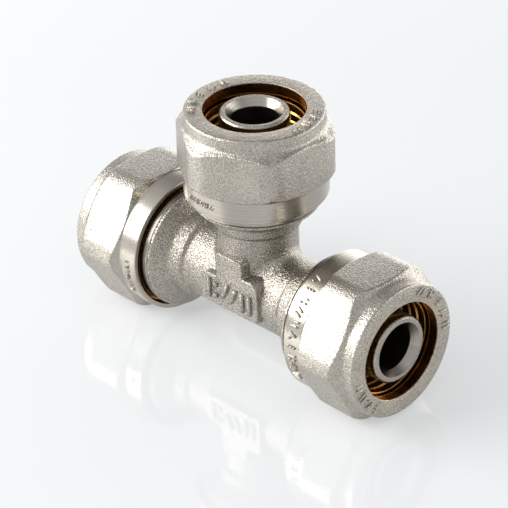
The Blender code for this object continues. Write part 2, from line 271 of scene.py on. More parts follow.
def make_piece(name, points, quads, fields=None, caps=(), weld=None, sharp=38.0):
    """Mesh object from points and quads, with named per-point fields, closed and facing out."""
    points = np.asarray(points, float).reshape(-1, 3)
    mesh = bpy.data.meshes.new(name)
    mesh.from_pydata(points.tolist(), [], quads.tolist() + [list(cap) for cap in caps])
    for field, values in (fields or {}).items():
        values = np.asarray(values, float)
        kind, key = ("FLOAT_VECTOR", "vector") if values.ndim == 2 else ("FLOAT", "value")
        layer = mesh.attributes.new(field, kind, "POINT")
        layer.data.foreach_set(key, values.astype(np.float32).ravel())
    work = bmesh.new()
    work.from_mesh(mesh)
    if weld:
        bmesh.ops.remove_doubles(work, verts=work.verts, dist=weld)
    bmesh.ops.recalc_face_normals(work, faces=work.faces)
    work.to_mesh(mesh)
    work.free()
    mesh.shade_smooth()
    mesh.set_sharp_from_angle(angle=math.radians(sharp))
    mesh.update()
    piece = bpy.data.objects.new(name, mesh)
    bpy.context.scene.collection.objects.link(piece)
    return piece


def finish_piece(piece, material, body, slot, *nodes):
    """Give a piece its material and tell the frame what it rides on and stands for."""
    piece.data.materials.append(material)
    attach(piece, body)
    if nodes:
        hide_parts(*nodes)


def find_radius(inside, place, low, high, turns=45):
    """Halve the interval until the surface lies between: inside(points) < 0 within the body."""
    for _ in range(turns):
        middle = (low + high) / 2
        within = inside(place(middle)) < 0
        low = np.where(within, middle, low)
        high = np.where(within, high, middle)
    return (low + high) / 2


def thread_ridge(thread, angles, along, crest_half):
    """Share of the thread's height at a place: 1 on the crest, 0 in the root.

    The distance from the middle of the nearest ridge, measured along the arm, falls
    off in a trapezoid whose flanks lean by half of the 55 degree thread angle.
    """
    phase = along / thread.pitch - angles / TURN
    from_ridge = np.abs(phase - np.round(phase)) * thread.pitch
    depth = thread.crest_r - thread.root_r
    return np.clip(1 - (from_ridge - crest_half) / (depth * math.tan(FLANK_LEAN)), 0, 1)


# ---------------------------------------------------------------- the tee


def tee_distance(sizes):
    """Signed-distance-like function of the blended middle of the tee.

    The run is a round bar along X and the branch a round bar up from its middle.  They
    are joined by a smooth minimum whose width shrinks to nothing where the two surfaces
    face the same way, so that the fillet lives only in the crotch.
    """
    def inside(points):
        x, y, z = np.moveaxis(points - CENTRE, -1, 0)
        below = np.minimum(z, 0)
        to_run = np.hypot(y, z)
        to_branch = np.sqrt(x * x + y * y + below * below)
        facing = (y * y + below * z) / np.maximum(to_run * to_branch, 1e-12)
        run, branch = to_run - sizes.barrel_r, to_branch - sizes.neck_r
        width = sizes.fillet * (1 - np.clip(facing, 0, 1)) + 1e-6
        blend = np.maximum(width - np.abs(run - branch), 0) / width
        return np.minimum(run, branch) - blend * blend * width / 4
    return inside


def arm_outline(sizes, thread, step_at, neck_r):
    """Outline of one arm from its plain end to the spigot thread, and from the thread's
    end through socket and insert into the waterway, each with its finish: 0 forged, 1 turned."""
    edge, step_length, line_depth = 0.25 * MM, 0.45 * MM, 0.12 * MM
    socket_bevel, insert_bevel = 0.7 * MM, 0.3 * MM
    outer = [
        (sizes.plain_end, neck_r, 0.0, 0),
        (step_at, neck_r, 0.35, 0),
        (step_at + step_length, sizes.band_r, 0.25, 0),
        (sizes.band_end, sizes.band_end_r, 0.45, 0),
        (sizes.flange, sizes.spigot_r - edge, 0.3, 0),
        (sizes.flange + edge, sizes.spigot_r, 0.2, 0),
        (sizes.flange + 2.4 * edge, sizes.spigot_r, 0, 0.5),
        (sizes.flange + 3.0 * edge, sizes.spigot_r - line_depth, 0, 1),
        (sizes.flange + 3.6 * edge, sizes.spigot_r, 0, 1),
        (thread.start - 0.1 * MM, sizes.spigot_r, 0, 1),
    ]
    chamfer_r = sizes.spigot_r - sizes.spigot_chamfer
    inner = [
        (sizes.spigot_end, chamfer_r, 0.1, 1),
        (sizes.spigot_end, sizes.socket_r + socket_bevel, 0.1, 1),
        (sizes.spigot_end - socket_bevel, sizes.socket_r, 0.1, 1),
        (sizes.socket_root, sizes.socket_r, 0.2, 1),
        (sizes.socket_root, sizes.insert_r, 0.2, 1),
    ]
    for middle in (sizes.first_groove, sizes.second_groove):
        near, far = middle - sizes.groove_width / 2, middle + sizes.groove_width / 2
        inner += [(near, sizes.insert_r, 0.08, 1), (near, sizes.groove_floor_r, 0.12, 1),
                  (far, sizes.groove_floor_r, 0.12, 1), (far, sizes.insert_r, 0.08, 1)]
    inner += [
        (sizes.insert_end - insert_bevel, sizes.insert_r, 0.12, 1),
        (sizes.insert_end, sizes.insert_r - insert_bevel, 0.12, 0.4),
        (sizes.insert_end, sizes.mouth_r + 0.05 * MM, 0, 0.4),
        (sizes.insert_end, sizes.mouth_r, 0.06, 1),
        (sizes.insert_end - sizes.mouth_depth, sizes.waterway_r, 0.1, 1),
        (sizes.insert_end - 1.2 * sizes.mouth_depth, sizes.waterway_r, 0, 1),
        (sizes.plain_end, sizes.waterway_r, 0, 1),
    ]
    return [rounded_rows(rows) for rows in (outer, inner)]


def rounded_rows(rows):
    """Split (along, radius, rounding in mm, finish) rows into a softened outline and its finish."""
    rows = np.array(rows, float)
    radii = rows[:, 2] * MM
    outline = soften(rows[:, :2], radii)
    finish = soften(np.stack([rows[:, 3], np.arange(len(rows))], 1), np.where(radii > 0, 0.45, 0))[:, 0]
    return outline, finish


def arm_grid(name, sizes, thread, columns):
    """Points and fields of one arm, from the outer seam out to its mouth and back in.

    The seam with the other arms lies where the height along this arm equals the height
    along them: the plane at 45 degrees above the run, and the plane x = 0 below it.
    """
    matrix = ARMS[name][0]
    around = np.arange(columns) * TURN / columns
    angles = math.pi - around if name == "left" else around
    share = np.abs(np.cos(angles)) if name == "branch" else np.maximum(np.sin(angles), 0)
    inside = tee_distance(sizes)
    low, high = sizes.neck_r * 0.7, sizes.neck_r * 2
    seam_r = find_radius(inside, lambda r: carry(matrix, angles, r * share, r),
                         np.full(columns, low), np.full(columns, high))
    seam = seam_r * share

    eased = np.linspace(0, 1, 30)[:-1, None] ** 1.25
    middle_along = seam + eased * (sizes.plain_end - seam)
    middle_r = find_radius(inside, lambda r: carry(matrix, angles, middle_along, r),
                           np.full(middle_along.shape, low), np.full(middle_along.shape, high))
    middle_r[0] = seam_r

    step_at, neck_r = sizes.run_step, sizes.barrel_r
    if name == "branch":
        step_at, neck_r = sizes.branch_step, sizes.neck_r
    (outer, outer_finish), (inner, inner_finish) = arm_outline(sizes, thread, step_at, neck_r)

    end_gap, run_in_length = 0.02 * MM, 0.9 * MM
    thread_along = np.linspace(thread.start, sizes.spigot_end - end_gap, 70)[:, None]
    ridge = thread_ridge(thread, angles, thread_along, SPIGOT_CREST_HALF)
    cut = thread.root_r + (thread.crest_r - thread.root_r) * ridge
    run_in = np.clip((thread_along - thread.start) / run_in_length, 0, 1)
    chamfer = sizes.spigot_r - np.clip(thread_along - sizes.spigot_end + sizes.spigot_chamfer, 0, None)
    thread_r = np.minimum(sizes.spigot_r + (cut - sizes.spigot_r) * run_in, chamfer)

    inward = np.linspace(0, 1, 6)[1:, None]
    water_along = sizes.plain_end + (sizes.waterway_r * share - sizes.plain_end) * inward

    def spread(values):
        return np.repeat(np.asarray(values)[:, None], columns, axis=1)

    along = np.vstack([middle_along, spread(outer[:, 0]), spread(thread_along[:, 0]),
                       spread(inner[:, 0]), water_along])
    radius = np.vstack([middle_r, spread(outer[:, 1]), thread_r,
                        spread(inner[:, 1]), np.full(water_along.shape, sizes.waterway_r)])
    finish = np.concatenate([np.zeros(len(middle_along)), outer_finish, np.ones(len(thread_along)),
                             inner_finish, np.ones(len(water_along))])
    # Unplated brass in the waterway; its dark colour there is painted shade deep in the bore
    bare_and_shaded = np.concatenate([np.zeros(len(along) - len(water_along) - 1), np.ones(len(water_along) + 1)])
    points = carry(matrix, angles, along, radius)
    lathe = np.stack([along, radius, np.zeros(along.shape)], axis=-1)
    return points, lathe, spread(finish), spread(bare_and_shaded)


def build_tee(sizes, thread, columns):
    """The whole forging as one closed skin: three arm grids welded along their seams."""
    points, lathe, finish, bare_and_shaded, quads, first = [], [], [], [], [], 0
    for name in ARMS:
        arm_points, arm_lathe, arm_finish, arm_bare_and_shaded = arm_grid(name, sizes, thread, columns)
        rows = arm_points.shape[0]
        quads.append(grid_faces(rows, columns, False, True, first))
        first += rows * columns
        points.append(arm_points.reshape(-1, 3))
        lathe.append(arm_lathe.reshape(-1, 3))
        finish.append(arm_finish.ravel())
        bare_and_shaded.append(arm_bare_and_shaded.ravel())
    fields = {"lathe": np.vstack(lathe), "finish": np.concatenate(finish), "bare_and_shaded": np.concatenate(bare_and_shaded)}
    return make_piece("tee_skin", np.vstack(points), np.vstack(quads), fields, weld=1e-7)


# ---------------------------------------------------------------- nuts


def hexagon_radius(angles, across_flats, corner_round):
    """Distance from the axis to a hexagon with rounded corners, first corner at angle 0.

    Near a corner it is the far crossing of the ray with the corner's rounding circle,
    elsewhere the flat's distance divided by the cosine of the angle from its middle.
    """
    sixth = math.pi / 3
    lean = (angles + sixth / 2) % sixth - sixth / 2
    flat = across_flats / 2 / np.cos(math.pi / 6 - np.abs(lean))
    circle_at = (across_flats / 2 - corner_round) / math.cos(math.pi / 6)
    under_root = np.maximum(corner_round ** 2 - (circle_at * np.sin(lean)) ** 2, 0)
    rounded = circle_at * np.cos(lean) + np.sqrt(under_root)
    touch = math.atan2(corner_round * math.sin(math.pi / 6),
                       circle_at + corner_round * math.cos(math.pi / 6))
    return np.where(np.abs(lean) < touch, rounded, flat)


def build_nut(name, nut, thread, columns):
    """Coupling nut: a closed grid carried round the arm, its hexagon scalloped by two cones.

    The scallops follow a sharp-cornered hexagon drawn in to the rounded one's corners, so
    that they come to a point on each corner.
    """
    matrix, _, nut_turn = ARMS[name]
    angles = np.arange(columns) * TURN / columns
    hexagon = hexagon_radius(angles - math.radians(nut_turn), ACROSS_FLATS, nut.corner_round)
    nearly_sharp, end = 0.01 * MM, nut.nut_length
    sharp = hexagon_radius(angles - math.radians(nut_turn), ACROSS_FLATS, nearly_sharp)
    flat_r = ACROSS_FLATS / 2
    pointed = flat_r + (sharp - flat_r) * (hexagon.max() - flat_r) / (sharp.max() - flat_r)
    rear_slope, front_slope = 0.82, 0.83
    rear_scallop = nut.rear_shoulder + (pointed - nut.rear_collar_r) * rear_slope
    front_scallop = nut.front_shoulder - (pointed - nut.front_collar_r) * front_slope
    thread_end = 1.6 * nut.mouth_depth
    crest = thread.root_r + thread.play
    relief = thread.crest_r + thread.play + 0.05 * MM
    # Place along the nut, radius, rounding in mm, finish and bareness; the bareness marks unplated
    # brass, and inside the mouth and bore its dark colour is painted shade
    rows = [
        (thread_end, crest, 0, 1, 1),
        (1.4 * nut.mouth_depth, nut.mouth_r - 0.1 * MM, 0.1, 1, 1),
        (0.12 * MM, nut.mouth_r, 0, 1, 1),
        (0, nut.mouth_r, 0.08, 1, 0),
        (0, nut.rear_collar_r, 0.18, 1, 0),
        (nut.rear_shoulder, nut.rear_collar_r, 0.12, 1, 0),
        (rear_scallop, hexagon, 0.2, 0.2, 0),
        (front_scallop, hexagon, 0.28, 0, 0),
        (nut.front_shoulder, nut.front_collar_r, 1.2, 0, 0),
        (end, nut.front_collar_r, 0.45, 0, 0),
        (end, nut.lip_r, 0.16, 0, 0.1),
        (end - 0.3 * MM, nut.lip_r, 0, 1, 1),
        (nut.lip_at, nut.lip_r, 0.1, 1, 1),
        (nut.relief_to, nut.seat_r, 0.1, 1, 1),
        (nut.relief_to, relief, 0.1, 1, 1),
        (nut.relief_from, relief, 0.2, 1, 1),
        (nut.relief_from, crest, 0, 1, 1),
    ]
    ones = np.ones(columns)
    outline = np.array([[row[0] * ones, row[1] * ones] for row in rows]).transpose(0, 2, 1)
    radii = np.array([row[2] for row in rows]) * MM
    outline = soften(outline, radii)
    tags = np.array([[row[3], row[4]] for row in rows])
    tags = soften(tags, np.where(radii > 0, 1e-6, 0))
    thread_along = np.linspace(nut.relief_from, thread_end, 60)[1:-1, None] * ones
    nut_at = ARM_REACH - end
    ridge = thread_ridge(thread, angles, thread_along + nut_at, NUT_CREST_HALF)
    thread_r = crest + (thread.crest_r - thread.root_r) * ridge
    outline = np.concatenate([outline, np.stack([thread_along, thread_r], axis=-1)])
    tags = np.vstack([tags, np.ones((len(thread_along), 2))])
    along, radius = outline[..., 0] + nut_at, outline[..., 1]
    points = carry(matrix, angles, along, radius)
    finish, bare_and_shaded = np.repeat(tags, columns, axis=0).T
    lathe = np.stack([along, radius, np.zeros(along.shape)], axis=-1).reshape(-1, 3)
    fields = {"lathe": lathe, "finish": finish, "bare_and_shaded": bare_and_shaded}
    quads = grid_faces(along.shape[0], columns, True, True)
    return make_piece(name + "_coupling_nut", points, quads, fields)


# ---------------------------------------------------------------- rings, seals


def build_split_ring(name, ring, nut, groove_count=2, columns=121):
    """Split clamping ring: a grooved, tapered outline carried round all but the slit."""
    matrix, slit_turn, _ = ARMS[name]
    bore_r, ring_r, groove = ring.bore_r, RING_HIGH.z - RUN_HEIGHT, ring.groove
    start, end = RING_LOW.x, RING_HIGH.x
    nut_at = ARM_REACH - nut.nut_length
    seat_slope = (nut.seat_r - nut.lip_r) / (nut.lip_at - nut.relief_to)
    taper_from = nut_at + nut.relief_to + (nut.seat_r - ring.play - ring_r) / seat_slope
    end_r = ring_r - seat_slope * (end - taper_from)
    rows = [
        (start, bore_r, 0.1), (start, ring_r - ring.bevel, 0.1), (start + ring.bevel, ring_r, 0.1),
        (taper_from, ring_r, 0.1), (end, end_r, 0.08), (end, bore_r, 0.06),
    ]
    for number in range(1, groove_count + 1):
        middle = end - number * (end - start) / (groove_count + 1)
        rows += [(middle + groove, bore_r, 0.04), (middle, bore_r + groove, 0.04),
                 (middle - groove, bore_r, 0.04)]
    rows.append((start, bore_r, 0))
    rows = np.array(rows)
    outline = soften(rows[:, :2], rows[:, 2] * MM, steps=3)[:-1]
    half_turn = ring.half_slit / bore_r
    angles = math.radians(slit_turn) + np.linspace(half_turn, TURN - half_turn, columns)
    along, radius = outline[:, :1], outline[:, 1:]
    points = carry(matrix, angles[None, :], along, radius)
    size = len(outline)
    lathe = np.stack(np.broadcast_arrays(along, radius, 0 * angles[None, :]), axis=-1).reshape(-1, 3)
    caps = [np.arange(size) * columns, np.arange(size)[::-1] * columns + columns - 1]
    return make_piece(name + "_clamping_ring", points, grid_faces(size, columns, True, False),
                      {"lathe": lathe}, caps)


def build_turned_ring(name, matrix, rows, columns=96):
    """Plain turned ring from a closed outline of (along, radius, rounding in mm) rows."""
    rows = np.array(rows + rows[:2])
    outline = soften(rows[:, :2], rows[:, 2] * MM)[1:-1]
    angles = np.arange(columns) * TURN / columns
    points = carry(matrix, angles[None, :], outline[:, :1], outline[:, 1:])
    return make_piece(name, points, grid_faces(len(outline), columns, True, True))


def build_o_ring(name, matrix, middle, ring_r, wire_r, rows=20, columns=96):
    """O-ring: a circle of radius wire_r carried round a circle of radius ring_r."""
    around = np.arange(rows)[:, None] * TURN / rows
    angles = np.arange(columns)[None, :] * TURN / columns
    points = carry(matrix, angles, middle + wire_r * np.sin(around), ring_r + wire_r * np.cos(around))
    return make_piece(name, points, grid_faces(rows, columns, True, True))


# ---------------------------------------------------------------- pad and raised marks


def build_pad():
    """Raised pad on the front of the tee: an upside-down T with drafted sides and a soft rim.

    The outline is offset along its corner bisectors at each level, from a wide root
    inside the barrel to a flat face.
    """
    root, draft, rim, corner_round = 4.5 * MM, 0.12, 0.18 * MM, 0.5 * MM
    outline = np.array([
        (-5.9, -2.6), (6.9, -2.6), (6.9, 3.6), (5.9, 4.6), (3.5, 4.6),
        (3.5, 7.4), (-2.4, 7.4), (-2.4, 2.8), (-4.9, 2.8), (-5.9, 1.8),
    ]) * MM
    closed = np.vstack([outline[-1:], outline, outline[:1]])
    smooth = soften(closed, np.full(len(closed), corner_round), steps=5)[1:-1]
    edge = np.roll(smooth, -1, axis=0) - np.roll(smooth, 1, axis=0)
    normal = np.stack([edge[:, 1], -edge[:, 0]], axis=1)
    normal /= np.linalg.norm(normal, axis=1, keepdims=True)
    levels = [(root, (PAD_FACE - root) * draft), (PAD_FACE - rim, rim * draft)]
    levels += [(PAD_FACE - rim * (1 - math.sin(lean)), -rim * (1 - math.cos(lean)))
               for lean in np.linspace(0, math.pi / 2, 6)[1:]]
    rows = []
    for depth, offset in levels:
        flat = smooth + normal * offset
        rows.append(np.stack([flat[:, 0], np.full(len(flat), -depth), flat[:, 1]], axis=1) + CENTRE)
    rows = np.array(rows)
    count, columns = rows.shape[:2]
    caps = [np.arange(columns), np.arange(columns) + (count - 1) * columns]
    return make_piece("front_pad", rows, grid_faces(count, columns, False, True), caps=caps, sharp=50)


STROKE_SIDES = 12


def stroke_points(centres, across, upright, outward, widths, heights, rise):
    """Raised strokes as superellipsoids: half-sizes along three directions at each centre.

    Each coordinate is a cosine or sine raised to a power below one, which squares the
    ellipsoid off into a bar with rounded edges.
    """
    def squared(values, power=0.55):
        return np.sign(values) * np.abs(values) ** power

    around = np.arange(STROKE_SIDES) * TURN / STROKE_SIDES
    tilt = np.linspace(-0.5, 0.5, 7)[1:-1] * math.pi
    ring, level = np.meshgrid(around, tilt)
    a = (squared(np.cos(level)) * squared(np.cos(ring))).ravel()
    b = (squared(np.cos(level)) * squared(np.sin(ring))).ravel()
    c = squared(np.sin(level)).ravel()
    return (centres[:, None, :] + across[:, None, :] * (widths[:, None] / 2 * a)[..., None]
            + upright[:, None, :] * (heights[:, None] / 2 * b)[..., None]
            + outward[:, None, :] * (rise * c)[None, :, None])


def build_strokes(name, points):
    """One piece from many small closed strokes, each a ring grid with two end caps."""
    count, size = points.shape[:2]
    starts = np.arange(count) * size
    one = grid_faces(size // STROKE_SIDES, STROKE_SIDES, False, True)
    quads = (one[None] + starts[:, None, None]).reshape(-1, 4)
    ends = np.concatenate([starts, starts + size - STROKE_SIDES])
    caps = ends[:, None] + np.arange(STROKE_SIDES)
    return make_piece(name, points, quads, caps=caps, sharp=60)


# Raised signs made of bars and dots: (sideways, upward, lean, length) of each stroke, in
# parts of the sign's height; a length of zero is a dot
SIGNS = (
    ((-0.22, 0.0, 0.0, 1.0), (0.22, 0.0, 0.0, 1.0)),
    ((-0.15, 0.0, 0.45, 1.0), (0.3, -0.3, 0.0, 0.0)),
    ((0.0, 0.35, 0.0, 0.0), (0.0, 0.0, 0.0, 0.0), (0.0, -0.35, 0.0, 0.0)),
    ((-0.2, 0.0, 0.0, 1.0), (0.22, 0.3, 0.0, 0.0), (0.22, -0.25, 0.0, 0.0)),
    ((-0.25, 0.05, 0.45, 0.9), (0.22, -0.05, 0.45, 0.9)),
)
DOT = 0.24


def sign_strokes(centres, across, upright, outward, size, first, relief=0.32 * MM):
    """Strokes of a row of signs, one sign to each centre, with the given directions."""
    picks = [(row, stroke) for row in range(len(centres))
             for stroke in SIGNS[(row + first) % len(SIGNS)]]
    rows = np.array([row for row, _ in picks])
    side, rise, lean, long = np.array([stroke for _, stroke in picks]).T[..., None]
    across, upright = across[rows], upright[rows]
    middle = centres[rows] + (across * side + upright * rise) * size
    leaned = upright * np.cos(lean) + across * np.sin(lean)
    crossing = across * np.cos(lean) - upright * np.sin(lean)
    return stroke_points(middle, crossing, leaned, outward[rows], np.full(len(rows), DOT * size),
                         np.maximum(long[:, 0], DOT) * size, relief)


def arm_directions(matrix, turns):
    """Unit vectors out from the arm's axis and round it, at an array of angles."""
    outward = np.stack([np.cos(turns), np.sin(turns), 0 * turns], axis=1) @ matrix.T
    sideways = np.stack([-np.sin(turns), np.cos(turns), 0 * turns], axis=1) @ matrix.T
    return outward, sideways, np.repeat(matrix[:, 2][None], len(turns), axis=0)


def face_strokes(matrix, nut, middle_turn):
    """Two rows of signs on the nut's front face, opposite each other."""
    size = 1.75 * MM
    middle_r = (nut.front_collar_r + nut.lip_r) / 2 + 0.15 * MM
    groups = []
    # Number of signs in a row, degrees from one to the next, and the row's turn
    for count, step, turn in ((5, 15.5, 0), (4, 13.0, 180)):
        turns = np.radians(middle_turn + turn + (np.arange(count) - (count - 1) / 2) * step)
        outward, sideways, along = arm_directions(matrix, turns)
        centres = outward * middle_r + along * ARM_REACH + CENTRE
        groups.append(sign_strokes(centres, -sideways, outward, along, size, count))
    return groups


def collar_strokes(matrix, nut, middle_turn, count, size):
    """A row of signs round the rear collar, each standing along the nut."""
    step = 1.15 * size / nut.rear_collar_r
    turns = math.radians(middle_turn) + (np.arange(count) - (count - 1) / 2) * step
    outward, sideways, along = arm_directions(matrix, turns)
    middle = ARM_REACH - nut.nut_length + nut.rear_shoulder * 0.5
    centres = outward * nut.rear_collar_r + along * middle + CENTRE
    return sign_strokes(centres, sideways, along, outward, size, 1)


def pad_strokes():
    """Three signs on the raised pad."""
    centres = np.array([(-3.3, 0.2), (0.6, 0.6), (4.4, 0.2)]) * MM
    centres = np.stack([centres[:, 0], np.full(3, -PAD_FACE), centres[:, 1]], axis=1) + CENTRE
    directions = np.array([(1.0, 0, 0), (0, 0, 1.0), (0, -1.0, 0)])
    across, upright, outward = directions[:, None].repeat(3, axis=1)
    return sign_strokes(centres, across, upright, outward, 3.8 * MM, 3, 0.5 * MM)


# ---------------------------------------------------------------- materials


class Wire:
    """A shader value that can be used in Python arithmetic; each operation adds a Math node."""

    def __init__(self, recipe, socket):
        self.recipe, self.socket = recipe, socket

    def _math(self, operation, *operands):
        return self.recipe.node("ShaderNodeMath", {"operation": operation}, dict(enumerate(operands)))

    def __add__(self, other):
        return self._math("ADD", self, other)

    __radd__ = __add__

    def __mul__(self, other):
        return self._math("MULTIPLY", self, other)

    __rmul__ = __mul__

    def __sub__(self, other):
        return self._math("SUBTRACT", self, other)

    def __rsub__(self, other):
        return self._math("SUBTRACT", other, self)

    def clamp(self):
        return self.recipe.node("ShaderNodeClamp", {}, {"Value": self})


class Recipe:
    """Node tree under construction, of a material or the world, with the shader it feeds."""

    def __init__(self, owner, shader):
        self.owner, self.tree, self.shader = owner, owner.node_tree, shader

    @classmethod
    def material(cls, name, metallic):
        owner = bpy.data.materials.new(name)
        owner.use_nodes = True
        shader = owner.node_tree.nodes["Principled BSDF"]
        shader.inputs["Metallic"].default_value = metallic
        return cls(owner, shader)

    def node(self, kind, settings, inputs, output=0):
        """Add a node: settings first, then the values or links of its sockets."""
        item = self.tree.nodes.new(kind)
        for key, value in settings.items():
            setattr(item, key, value)
        for key, value in inputs.items():
            if isinstance(value, Wire):
                self.tree.links.new(value.socket, item.inputs[key])
            else:
                item.inputs[key].default_value = value
        return Wire(self, item.outputs[output])

    def place(self):
        return self.node("ShaderNodeTexCoord", {}, {}, "Object")

    def field(self, name, output="Fac"):
        return self.node("ShaderNodeAttribute", {"attribute_name": name}, {}, output)

    def noise(self, scale, detail, roughness, line=None):
        """Noise of the place in the object, or of a single value if one is given."""
        inputs = {"Scale": scale, "Detail": detail, "Roughness": roughness}
        if line:
            return self.node("ShaderNodeTexNoise", {"noise_dimensions": "1D"}, {**inputs, "W": line})
        return self.node("ShaderNodeTexNoise", {}, {**inputs, "Vector": self.place()})

    def split(self, vector):
        """The three parts of a vector."""
        return [self.node("ShaderNodeSeparateXYZ", {}, {"Vector": vector}, axis) for axis in "XYZ"]

    def mix(self, factor, first, second):
        """Colour between two colours."""
        settings = {"data_type": "RGBA"}
        return self.node("ShaderNodeMix", settings, {0: factor, 6: rgba(first), 7: rgba(second)}, 2)

    def bump(self, height, distance):
        inputs = {"Height": height, "Distance": distance, "Strength": 1.0}
        return self.node("ShaderNodeBump", {}, inputs)

    def feed(self, socket, wire):
        self.tree.links.new(wire.socket, self.shader.inputs[socket])


def rgba(colour):
    """A colour wire as it is, or a plain colour with full alpha."""
    return colour if isinstance(colour, Wire) else (*colour, 1.0)


def turned_rings(recipe):
    """Fine uneven rings left by a lathe tool: noise of the distance along and out of the arm."""
    along, radius, _ = recipe.split(recipe.field("lathe", "Vector"))
    place = along + radius * 1.7
    coarse = recipe.noise(2600.0, 2.0, 0.6, place)
    fine = recipe.noise(9000.0, 1.0, 0.5, place)
    return coarse * 0.6 + fine * 0.4


def plated_metal(name, plating, colours, coarseness):
    """Nickel plate on sandblasted forging and turned collars, and unplated brass where cut later,
    darkened there as painted shade for deep bores and nut mouths.

    The finish field is 0 on forged and 1 on turned skin, and the brass field 1 on unplated brass, all of
    it in recesses painted dark as shade.
    """
    recipe = Recipe.material(name, 1.0)
    finish = recipe.field("finish").clamp()
    bare_and_shaded = recipe.field("bare_and_shaded").clamp()
    grain = recipe.noise(4300.0, 1.0, 0.6)
    pits = recipe.noise(2100.0, 1.0, 0.5)
    clouds = recipe.noise(160.0, 3.0, 0.6)
    rings = turned_rings(recipe)
    forged = 1 - finish
    shade = tuple(0.54 * channel for channel in plating)
    speckle = (grain - 0.5) * (3.4 * coarseness) * forged + (rings - 0.5) * 0.9 * finish
    tone = ((clouds - 0.5) * 0.8 + speckle + 0.38).clamp()
    plated = recipe.mix(tone, tuple(plating), shade)
    stain = ((clouds - 0.30) * 3.0).clamp()
    # Dark brass for the unplated places: real stain at random, and painted shade where it lines the
    # bores and the nut mouths
    stain_and_shade = recipe.mix(stain, tuple(colours.brass), tuple(colours.dark_brass_and_shade))
    recipe.feed("Base Color", recipe.mix(bare_and_shaded, plated, stain_and_shade))
    forged_rough = 0.40 - 0.12 * coarseness + (grain - 0.5) * 0.4
    turned_rough = 0.22 + (rings - 0.5) * 0.25
    recipe.feed("Roughness", forged_rough * forged + turned_rough * finish)
    height = (grain * 0.7 + pits * 0.5) * coarseness * forged + rings * finish * 0.11
    recipe.feed("Normal", recipe.bump(height, 0.17 * MM))
    return recipe.owner


def bare_brass(colours):
    """Turned brass without plating, with stains from cutting oil."""
    recipe = Recipe.material("bare_brass", 1.0)
    clouds = recipe.noise(420.0, 4.0, 0.6)
    rings = turned_rings(recipe)
    stain = ((clouds - 0.35) * 2.2).clamp()
    recipe.feed("Base Color", recipe.mix(stain, tuple(colours.brass), tuple(colours.dark_brass_and_shade)))
    recipe.feed("Roughness", 0.18 + stain * 0.2 + (rings - 0.5) * 0.1)
    recipe.feed("Normal", recipe.bump(rings, 0.01 * MM))
    return recipe.owner


def rubber(colours):
    """Black EPDM with a faint bloom."""
    recipe = Recipe.material("black_rubber", 0.0)
    bloom = recipe.noise(900.0, 3.0, 0.6)
    light = tuple(3.5 * channel for channel in colours.rubber)
    recipe.feed("Base Color", recipe.mix(((bloom - 0.4) * 1.5).clamp(), tuple(colours.rubber), light))
    recipe.feed("Roughness", 0.42 + bloom * 0.25)
    recipe.feed("Normal", recipe.bump(bloom, 0.01 * MM))
    return recipe.owner


def washer_plastic(colours):
    """Dark moulded plastic with a matt grain."""
    recipe = Recipe.material("dark_plastic", 0.0)
    grain = recipe.noise(2200.0, 2.0, 0.5)
    light = tuple(1.8 * channel for channel in colours.plastic)
    recipe.feed("Base Color", recipe.mix(grain, tuple(colours.plastic), light))
    recipe.feed("Roughness", 0.4 + grain * 0.2)
    recipe.feed("Normal", recipe.bump(grain, 0.01 * MM))
    return recipe.owner


def table_top(colours):
    """Pale glossy studio table."""
    recipe = Recipe.material("table_top", 0.0)
    constants = {"Emission Color": (0.98, 1.0, 1.0, 1.0), "Emission Strength": 0.40, "IOR": 1.65}
    for socket, value in constants.items():
        recipe.shader.inputs[socket].default_value = value
    haze = recipe.noise(9.0, 2.0, 0.5)
    darker = tuple(0.97 * channel for channel in colours.floor)
    recipe.feed("Base Color", recipe.mix(haze, tuple(colours.floor), darker))
    recipe.feed("Roughness", 0.04 + haze * 0.03)
    return recipe.owner


# ---------------------------------------------------------------- operators


class FITTING_OT_tee(bpy.types.Operator):
    """Build the forged tee with its spigots, inserts and raised pad"""

    bl_idname = "fitting.tee"
    bl_label = "Tee body"

    def execute(self, context):
        scene, colours = context.scene, context.scene.fitting_colours
        # The tee's darker nickel includes painted shade between the nuts and the body
        material = plated_metal("forged_nickel_and_shade", colours.tee_nickel_and_shade, colours, coarseness=1.15)
        tee = build_tee(scene.fitting_body, scene.fitting_thread, scene.fitting_stage.columns)
        finish_piece(tee, material, "tee", "nickel_plate", "tee_body")
        finish_piece(build_pad(), material, "tee", "nickel_plate")
        strokes = build_strokes("pad_strokes", pad_strokes())
        finish_piece(strokes, material, "tee", "nickel_plate")
        return {"FINISHED"}


class FITTING_OT_nuts(bpy.types.Operator):
    """Build the three coupling nuts with their raised strokes"""

    bl_idname = "fitting.nuts"
    bl_label = "Coupling nuts"

    def execute(self, context):
        scene, colours = context.scene, context.scene.fitting_colours
        sizes, columns = scene.fitting_nut, scene.fitting_stage.nut_columns
        material = plated_metal("blasted_nickel", colours.nickel, colours, coarseness=0.8)
        for name, (matrix, _, _) in ARMS.items():
            body = name + "_coupling"
            nut = build_nut(name, sizes, scene.fitting_thread, columns)
            finish_piece(nut, material, body, "nickel_plate", name + "_nut")
            face_turn, collar_turn, count, size = MARKS[name]
            groups = face_strokes(matrix, sizes, face_turn)
            groups.append(collar_strokes(matrix, sizes, collar_turn, count, size))
            strokes = build_strokes(name + "_nut_strokes", np.concatenate(groups))
            finish_piece(strokes, material, body, "nickel_plate")
        return {"FINISHED"}


class FITTING_OT_split_rings(bpy.types.Operator):
    """Build the three split clamping rings"""

    bl_idname = "fitting.split_rings"
    bl_label = "Split rings"

    def execute(self, context):
        scene = context.scene
        material = bare_brass(scene.fitting_colours)
        for name in ARMS:
            ring = build_split_ring(name, scene.fitting_ring, scene.fitting_nut)
            finish_piece(ring, material, name + "_ring", "raw_brass", name + "_split_ring")
        return {"FINISHED"}


